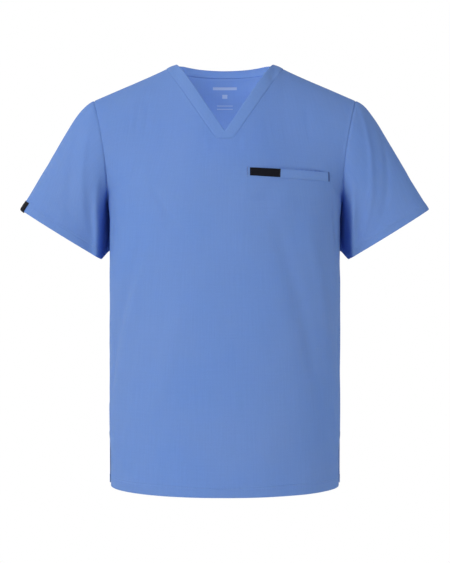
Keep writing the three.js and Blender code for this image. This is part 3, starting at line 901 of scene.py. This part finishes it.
def sleeveTop(side, turn, v, extra=0.0):
    turn, v = np.broadcast_arrays(np.asarray(turn, float), np.asarray(v, float))

    def form(a, b):
        return sleeveForm(side, a, sleeveAlong(a, b))

    out = np.maximum(v, 0)
    normals = normalsOn(form, turn, out, (-9, 369), (0, 2), 0.6, 0.01, -side)
    fromCuff = (2 - out) * sleeveCut["hem"]
    relief = sewnDip(out * 110, 1.4, sleeveCut["seamDepth"])
    relief += sleeveCut["hemLift"] * softStep(fromCuff, garment["cuffTurn"], 0.6)
    relief += sewnDip(fromCuff - sleeveCut["stitchUp"], 0.9, sleeveCut["stitchDepth"])
    relief += sewnDip(fromCuff, 0.6, 0.45)
    points = form(turn, out) + normals * (garment["clothThick"] / 2 + relief + extra)[..., None]
    under, underNormals = underArmhole(side, turn, np.minimum(v, 0))
    below = (v < 0)[..., None]
    return np.where(below, under, points), np.where(below, underNormals, normals)


hemTurns = range(0, 361, 3)
hemShares = [shareFromCuff(turn, sleeveCut["hem"]) for turn in hemTurns]


def laySleeve(name, side, seed):
    turns = [0.0] + spread(0, 360, 2)
    rows = [-1.0, -0.6, -0.3, -0.12, 0.0, 0.006, 0.014, 0.025, 0.04]
    rows += spread(0.04, 0.97, sleeveCut["step"] / 165) + [1.0]
    for up in list(np.arange(16.8, 9.9, -0.7)) + [8.4, 6.4, 4.4, 2.6, 1.6, 0.8, 0.3, 0]:
        rows.append(2 - up / sleeveCut["hem"])

    def waves(points, u, v):
        calm = np.clip(v * 8, 0, 1) * np.clip((2 - v) * 3 + 0.35, 0, 1)
        return calm * (unevenness(points, 45, 0.8, seed) + unevenness(points, 20, 0.3, seed + 5))

    piece, u, v = layGrid(name, turns, rows, lambda a, b: sleeveTop(side, a, b), waves)
    fromCuff = (2 - v) * sleeveCut["hem"]
    turned = softStep(fromCuff, garment["cuffTurn"], 0.5)
    addGroup(piece, "turned", np.clip(turned * (1 - 0.75 * hill(fromCuff, 0.5)), 0, 1))
    sewn = 0.8 * hill(fromCuff - sleeveCut["stitchUp"], 6) + 0.6 * hill(np.maximum(v, 0), 1 / 14)
    keepNumbers(piece, "sewn", np.clip(sewn, 0, 1))
    weldRing(piece)
    thicken(piece, garment["hemThick"], "turned", garment["clothThick"] / garment["hemThick"])
    return piece


leftSleeve = finishPiece(laySleeve("leftSleeve", 1, seed=23), scrubCloth, "scrub_cloth", "sleeve_left")
rightSleeve = finishPiece(laySleeve("rightSleeve", -1, seed=31), scrubCloth, "scrub_cloth", "sleeve_right")
print("sleeves set in,", len(leftSleeve.data.polygons), "faces each")


# Neckband: one folded strip all round, mitred at the point and seamed at the shoulders

band = {
    "thick": 1.4,
    "crown": 0.3,
    "underlap": 3,
    "width": 18.5,
    "peakDrop": 2,
    "backRise": 1.8,
    "dent": {"at": 1.84, "across": 0.35, "depth": 1.6},  # in the left side, below the shoulder seam
}


def bandLine(face, x):
    # the seam with the panel, and the free edge beside it
    x = np.abs(x)
    foot, seamX = garment["bandFootHalfWidth"], garment["bandSeamHalfWidth"]
    outer = np.stack([x, upperEdge(face, np.minimum(x, seamX - 1e-6))], -1)
    if face == "back":
        share = x / seamX
        inner = np.stack([garment["neckHalfWidth"] * share, garment["backNeckZ"] * (1 - share**2)], -1)
    else:
        least = garment["neckPointHalfWidth"] / garment["neckHalfWidth"]
        up = np.where(x < foot, least * x / foot, least + (1 - least) * (x - foot) / (seamX - foot))
        inner = np.stack([garment["neckHalfWidth"] * up, garment["neckPointZ"] * (1 - up)], -1)
    return outer, inner


def bandForm(u, v):
    # u runs round the neck: 0 to 2 along the front, 2 to 4 back along the back
    u, v = np.broadcast_arrays(np.asarray(u, float) % 4, np.asarray(v, float))
    seamX = garment["bandSeamHalfWidth"]
    result = np.empty(u.shape + (3,))
    for face, here, x in (("front", u <= 2, (u - 1) * seamX), ("back", u > 2, (3 - u) * seamX)):
        outer, inner = bandLine(face, x)
        run = np.linalg.norm(outer - inner, axis=-1)
        first = 0.45 / run
        share = np.where(v < 0, v * band["underlap"] / run, first + (1 - first) * v)
        flat = outer + (inner - outer) * share[..., None]
        top = ridgeZ(flat[..., 0])
        atShoulder = np.abs(np.abs(x) - seamX) < 1e-6
        z = np.where(atShoulder, top, np.minimum(flat[..., 1], top))
        points = neckForm(face, np.sign(x) * flat[..., 0], z)
        points[..., 1] = np.where(atShoulder, 0, points[..., 1])
        points[..., 2] -= band["peakDrop"] * hill(flat[..., 0] - garment["neckHalfWidth"], 7)
        if face == "back":
            points[..., 2] += band["backRise"] * np.maximum(share, 0) * (1 - (np.abs(x) / seamX) ** 8)
        result[here] = points[here]
    return result


def bandTop(u, v, extra=0.0):
    u, v = np.broadcast_arrays(np.asarray(u, float), np.asarray(v, float))
    out = np.maximum(v, 0)
    normals = normalsOn(bandForm, u, out, (-1, 5), (0, 1), 4e-3, 0.03)
    fromEdge, fromSeam = (1 - out) * band["width"], out * band["width"]
    crown = band["crown"] * np.sqrt(np.maximum(0, 1 - (2 * out - 1) ** 2))
    seam = np.minimum(np.abs(u % 4 - 2), np.minimum(u % 4, 4 - u % 4)) * garment["bandSeamHalfWidth"]
    relief = crown + sewnDip(fromEdge, 0.6, 0.6) + sewnDip(fromSeam, 1.3, 0.4) + sewnDip(seam, 0.9, 0.3)
    dent = band["dent"]
    relief -= dent["depth"] * hill(u - dent["at"], 0.05) * hill(v - dent["across"], 0.3)
    lift = np.where(v < 0, -0.75, band["thick"] / 2 - 0.1 + relief) + extra
    points = bandForm(u, v) + normals * lift[..., None]
    return points, normals


def layNeckband():
    seamX, foot = garment["bandSeamHalfWidth"], garment["bandFootHalfWidth"]
    half = spread(0, foot, 1.5) + spread(foot, seamX - 2.5, 2.2) + [seamX - 1.4, seamX - 0.6, seamX]
    front = [-x for x in half[::-1]] + [0.0] + half
    columns = [1 + x / seamX for x in front] + [3 - x / seamX for x in front[::-1][1:]]
    rows = [-1.0, -0.5, -0.15, -0.01, 0.0, 0.015, 0.035, 0.07] + spread(0.07, 0.9, 0.09)
    rows += [0.94, 0.965, 0.983, 1.0]
    piece, u, v = layGrid("neckband", columns, rows, bandTop)
    fromSeam = np.maximum(v, 0) * band["width"]
    full = np.clip(1 - 0.6 * hill(band["width"] - fromSeam, 0.6), 0, 1)
    addGroup(piece, "folded", np.where(v <= 0.0, 0.0, full))
    keepNumbers(piece, "sewn", np.clip(0.6 * hill(fromSeam, 5) + 0.25, 0, 1))
    weldRing(piece)
    thicken(piece, band["thick"], "folded", 0.25)
    return piece


neckband = finishPiece(layNeckband(), foldedCloth, "folded_cloth", "neckband_front", "neckband_back")
print("neckband folded")


# Chest welt with its label

welt = {
    "inX": 35.5, "outX": 171, "topZ": -187, "tilt": -0.035, "height": 14.5,
    "thick": 0.7, "off": 0.1, "agape": 2.1, "roll": 1.0,
}
label = {
    "inX": 40, "outX": 89, "topZ": -187.6, "tilt": -0.035, "height": 13.0,
    "thick": 0.45, "off": 0.9, "agape": 2.0, "roll": 0.4,
}


def stripTop(cut, s, t):
    # s runs from the inner to the outer end and t from the lower to the upper edge
    s, t = np.broadcast_arrays(np.asarray(s, float), np.asarray(t, float))
    x = cut["inX"] + (cut["outX"] - cut["inX"]) * s
    z = cut["topZ"] + cut["tilt"] * (x - cut["inX"]) - cut["height"] * (1 - t)
    across, level = locateOnPanel("front", x, z)

    def form(a, b):
        return panelForm("front", a, b)

    normals = normalsOn(form, across, level, (-1, 1), (garment["hemZ"], garment["tipZ"]), 4e-3, 1.0)
    toEnd = np.minimum(s, 1 - s) * (cut["outX"] - cut["inX"])
    toEdge = np.minimum(t, 1 - t) * cut["height"]
    # the upper edge stands off between the welt's ends
    alongWelt = np.clip((x - welt["inX"]) / (welt["outX"] - welt["inX"]), 0, 1)
    open_ = cut["agape"] * np.sin(np.pi * alongWelt) ** 0.6 * t**2
    rolled = -0.4 * cut["thick"] * (hill(toEnd, cut["roll"]) + hill(toEdge, cut["roll"]))
    lift = garment["clothThick"] / 2 + cut["off"] + cut["thick"] + open_ + rolled
    return form(across, level) + normals * lift[..., None], normals


def closerAtEnds(size, count):
    ends = [distance / size for distance in (0, 0.3, 0.8, 1.6)]
    return ends + spread(ends[-1], 1 - ends[-1], 1 / count) + [1 - share for share in ends[-2::-1]]


def layStrip(name, cut, columns, rows):
    length, height = cut["outX"] - cut["inX"], cut["height"]
    across, up = closerAtEnds(length, columns), closerAtEnds(height, rows)
    piece, s, t = layGrid(name, across, up, lambda a, b: stripTop(cut, a, b))
    toEdge = np.minimum(np.minimum(s, 1 - s) * length, np.minimum(t, 1 - t) * height)
    addGroup(piece, "full", 1 - 0.5 * hill(toEdge, 0.5))
    keepNumbers(piece, "sewn", 0.5 * hill(toEdge, 3))
    thicken(piece, cut["thick"], "full", 0.0)
    return piece


weltStrip = layStrip("chestWelt", welt, columns=64, rows=9)
labelStrip = layStrip("pocketLabel", label, columns=30, rows=9)
chestWelt = finishPiece(weltStrip, foldedCloth, "folded_cloth", "chest_pocket_welt")
pocketLabel = finishPiece(labelStrip, blackTape, "black_tape", "pocket_label")


# Tab on the right sleeve's hem, folded round its edge

tab = {"length": 17, "fromTurn": 151, "toTurn": 184, "thick": 0.7, "off": 0.35, "inside": 8}


def tabTop(turn, s):
    # s is the distance from the cuff's edge: over it, round it and back inside
    turn, s = np.broadcast_arrays(np.asarray(turn, float), np.asarray(s, float))
    along = 2 - np.abs(s) / sleeveCut["hem"]
    points, normals = sleeveTop(-1, turn, along)
    down = points - sleeveTop(-1, turn, np.clip(along - 0.12, 0, 2))[0]
    down = down / np.linalg.norm(down, axis=-1)[..., None]
    over, under = tab["off"] + tab["thick"], -garment["hemThick"] - tab["off"] - tab["thick"]
    middle, half = (over + under) / 2, (over - under) / 2
    swing = np.clip(s / 1.8, -1, 1) * np.pi / 2
    lift, beyond = middle + half * np.sin(swing), half * np.cos(swing)
    points = points + normals * lift[..., None] + down * beyond[..., None]
    return points, normals * np.sign(s + 1e-9)[..., None]


def layTab():
    turns = [tab["fromTurn"]] + spread(tab["fromTurn"], tab["toTurn"], 1.2)
    rows = [-tab["inside"], -5.5, -3.5, -1.8] + spread(-1.8, 1.8, 0.36) + spread(1.8, tab["length"], 1.5)
    piece, _, s = layGrid("sleeveTab", turns, rows, tabTop)
    thicken(piece, tab["thick"])
    return piece


sleeveTab = finishPiece(layTab(), blackTape, "black_tape", "sleeve_tab")
print("trim in place")


# Stitching: one stitch is modelled and set along each line

stitch = {"length": 2.5, "pitch": 3.3, "width": 0.42, "tackPitch": 0.55}


def modelStitch():
    pickNone()
    bpy.ops.mesh.primitive_uv_sphere_add(segments=8, ring_count=6, radius=0.5, rotation=(0, math.pi / 2, 0))
    piece = bpy.context.object
    bpy.ops.object.transform_apply(rotation=True)
    for vertex in piece.data.vertices:
        # both ends go down into the cloth
        vertex.co.z = vertex.co.z - 1.6 * vertex.co.x**2
    corners = np.array([tuple(vertex.co) for vertex in piece.data.vertices])
    faces = [tuple(face.vertices) for face in piece.data.polygons]
    bpy.data.objects.remove(piece)
    return corners, faces


stitchCorners, stitchFaces = modelStitch()


def alongLine(points, normals, pitch):
    # even places along a line: middle, direction and normal of each
    steps = np.linalg.norm(np.diff(points, axis=0), axis=-1)
    at = np.concatenate([[0], np.cumsum(steps)])
    places = np.arange(pitch / 2, at[-1] - pitch * 0.3, pitch)
    middle = np.stack([np.interp(places, at, points[:, i]) for i in range(3)], -1)
    ahead = np.stack([np.interp(places + 0.3, at, points[:, i]) for i in range(3)], -1)
    behind = np.stack([np.interp(places - 0.3, at, points[:, i]) for i in range(3)], -1)
    normal = np.stack([np.interp(places, at, normals[:, i]) for i in range(3)], -1)
    return middle, ahead - behind, normal


def stitchesOn(lines, length, width, turned=False):
    made = []
    for middle, direction, normal in lines:
        direction = direction / np.linalg.norm(direction, axis=-1)[:, None]
        sideways = np.cross(normal, direction)
        sideways = sideways / np.linalg.norm(sideways, axis=-1)[:, None]
        up = np.cross(direction, sideways)
        if turned:
            direction, sideways = sideways, -direction
        shape = (stitchCorners[None, :, 0, None] * direction[:, None] * length
                 + stitchCorners[None, :, 1, None] * sideways[:, None] * width
                 + (stitchCorners[None, :, 2, None] + 0.12) * up[:, None] * width)
        made.append(middle[:, None] + shape)
    return np.concatenate(made)


def sewStitches(name, *batches):
    corners = np.concatenate(batches)
    count, size = corners.shape[:2]
    mesh = bpy.data.meshes.new(name)
    faces = [tuple(i + n * size for i in face) for n in range(count) for face in stitchFaces]
    mesh.from_pydata((corners.reshape(-1, 3) * mm).tolist(), [], faces)
    piece = bpy.data.objects.new(name, mesh)
    bpy.context.scene.collection.objects.link(piece)
    pickOnly(piece)
    bpy.ops.object.shade_smooth()
    return piece


def panelLine(face, u, v, pitch):
    u, v = np.broadcast_arrays(np.asarray(u, float), np.asarray(v, float))
    return alongLine(*panelTop(face, u, v), pitch)


def hemLines(face):
    ends = 1 - (panelCut["ventStitch"] - 1) / garment["halfGirth"]
    hemStitchZ = garment["hemZ"] + panelCut["stitchUp"]
    lines = [panelLine(face, np.linspace(-ends, ends, 500), hemStitchZ, stitch["pitch"])]
    rows = np.linspace(garment["hemZ"] + 2, garment["ventTopZ"], 60)
    for side in (-1, 1):
        share = side * (1 - panelCut["ventStitch"] / garment["halfGirth"])
        lines.append(panelLine(face, share, rows, stitch["pitch"]))
    return lines


# distance of the tack's upper and lower ends from the side seam
ventTack = (17, 26)


def ventTacks():
    # slanting from the seam's end across the stitched turning
    lines = []
    for side in (-1, 1):
        rows = np.linspace(garment["ventTopZ"] + 5, garment["ventTopZ"] - 6, 30)
        share = side * (1 - np.linspace(*ventTack, 30) / garment["halfGirth"])
        lines.append(panelLine("front", share, rows, stitch["tackPitch"]))
    return lines


def weltTack(s):
    rows = np.linspace(0.02, 1.12, 30)
    points, normals = stripTop({**welt, "agape": 0}, s, np.minimum(rows, 1))
    points[:, 2] += np.maximum(0, rows - 1) * welt["height"]
    return alongLine(points + normals * 0.4, normals, stitch["tackPitch"])


def weltLines():
    acrossWelt, up = np.linspace(0.03, 0.97, 200), 1.4 / welt["height"]
    return [alongLine(*stripTop(welt, acrossWelt, up), pitch=2.9)]


def labelLines():
    rows = np.linspace(0.06, 0.94, 20)
    fromEnd = 1.6 / (label["outX"] - label["inX"])
    return [alongLine(*stripTop(label, s, rows), pitch=2.1) for s in (fromEnd, 1 - fromEnd)]


def sleeveLines(side):
    turns = np.linspace(0.5, 359.5, 500)
    v = 2 - sleeveCut["stitchUp"] / sleeveCut["hem"]
    return [alongLine(*sleeveTop(side, turns, v), stitch["pitch"])]


finishPiece(sewStitches(
    "bodyStitches",
    stitchesOn(hemLines("front") + hemLines("back"), stitch["length"], stitch["width"]),
), blueThread, "scrub_cloth")
finishPiece(sewStitches(
    "sleeveStitches",
    stitchesOn(sleeveLines(1) + sleeveLines(-1), stitch["length"], stitch["width"]),
), blueThread, "scrub_cloth")
finishPiece(sewStitches(
    "weltStitches",
    stitchesOn(weltLines(), length=2.2, width=0.36),
    stitchesOn([weltTack(0.006)], length=2.6, width=0.5, turned=True),
), blueThread, "folded_cloth")
# the bartacks use the thread painted darker as shade
finishPiece(sewStitches(
    "bartacks",
    stitchesOn([weltTack(0.99)], length=3.4, width=0.5, turned=True),
    stitchesOn(ventTacks(), length=3.0, width=0.5, turned=True),
), tackThreadPaintedShade, "folded_cloth")
finishPiece(sewStitches(
    "labelStitches",
    stitchesOn(labelLines(), length=1.6, width=0.34),
), blackThread, "black_tape")
print("stitched")


# Plain pale mark printed inside the back, below the neck

# left, right, top and foot of each bar
markRows = [(-21, 21, -27.5, -32), (-4.5, 4.5, -39.5, -46), (-14, 14, -57.5, -58.7), (-14, 14, -63, -64.2)]
printThick = 0.08


def insideBack(x, z):
    across, level = locateOnPanel("back", x, z)
    points, normals = panelTop("back", across, level, -garment["clothThick"] - 0.3)
    return points, -normals


def layMark():
    bars = []
    for fromX, toX, topZ, footZ in markRows:
        columns, rows = np.linspace(fromX, toX, 25), np.linspace(footZ, topZ, 4)
        bars.append(layGrid("mark", columns, rows, insideBack)[0])
    return joinStrips("neckMark", bars, printThick)


finishPiece(layMark(), palePrint, "scrub_cloth")


# Each cut piece: its area in square metres and its triangle count

for piece in (frontPanel, backPanel, leftSleeve, rightSleeve, neckband, chestWelt, pocketLabel, sleeveTab):
    print(piece.name, "area", round(layerArea(piece), 4), "triangles",
          sum(len(face.vertices) - 2 for face in piece.data.polygons))


# Floor, light and camera

def layFloor():
    pickNone()
    bpy.ops.mesh.primitive_circle_add(vertices=96, radius=2.2, fill_type="NGON", location=(0, 0, 0))
    floor = bpy.context.object
    floor.name = "floor"
    for vertex in floor.data.vertices:
        vertex.co.z = -1.45
    material, tree, shader, place = newMaterial("paleFloor")
    shader.inputs["Roughness"].default_value = 0.9
    speckle = noiseAt(tree, place.outputs["Object"], 60)
    tree.links.new(mixed(tree, speckle, (0.62, 0.62, 0.62), (0.66, 0.66, 0.66)), shader.inputs["Base Color"])
    floor.data.materials.append(material)


def areaLight(name, place, target, size, power):
    light = bpy.data.lights.new(name, "AREA")
    light.shape = "DISK"
    light.size = size
    light.energy = power
    lamp = bpy.data.objects.new(name, light)
    lamp.location = place
    lamp.rotation_euler = (Vector(target) - Vector(place)).to_track_quat("-Z", "Y").to_euler()
    bpy.context.scene.collection.objects.link(lamp)
    return lamp


layFloor()
areaLight("key", (-2.7, -2.4, 0.9), (0, 0, -0.35), size=1.6, power=92)
areaLight("fill", (-0.2, -3.4, 0.2), (0, 0, -0.35), size=2.0, power=30)
areaLight("lowFill", (2.0, -2.6, -0.9), (0, 0, -0.5), size=1.6, power=26)
areaLight("rightFill", (2.8, 0.15, -0.4), (0, 0, -0.45), size=1.4, power=9)
# a small lamp inside lights the back of the neck as a bounce card would
inside = areaLight("inside", (0, -0.03, -0.24), (0, 0.09, -0.05), size=0.1, power=0.42)
inside.visible_camera = False

world = bpy.data.worlds.new("studio")
bpy.context.scene.world = world
world.use_nodes = True
# white behind the top, softer light from the front and the right
toWorld = world.node_tree
leaning = addNode(toWorld, "ShaderNodeVectorMath", operation="DOT_PRODUCT")
leaning.inputs[1].default_value = (-0.406, 0.914, 0)
toWorld.links.new(addNode(toWorld, "ShaderNodeTexCoord").outputs["Generated"], leaning.inputs[0])
falling = addNode(toWorld, "ShaderNodeMapRange", interpolation_type="SMOOTHSTEP")
falling.inputs["From Min"].default_value = -0.55
falling.inputs["From Max"].default_value = 0.8
falling.inputs["To Min"].default_value = 0.36
toWorld.links.new(leaning.outputs["Value"], falling.inputs["Value"])
toWorld.links.new(falling.outputs[0], toWorld.nodes["Background"].inputs["Strength"])
toWorld.nodes["Background"].inputs["Color"].default_value = (1, 1, 1, 1)

cameraData = bpy.data.cameras.new("camera")
cameraData.lens = 71.46
cameraData.sensor_width = 36
camera = bpy.data.objects.new("camera", cameraData)
camera.location = (0.0003, -1.9, -0.36975)
camera.rotation_euler = (math.pi / 2, 0, 0)
bpy.context.scene.collection.objects.link(camera)
bpy.context.scene.camera = camera
bpy.context.scene.view_settings.view_transform = "Standard"
print("lit and framed")
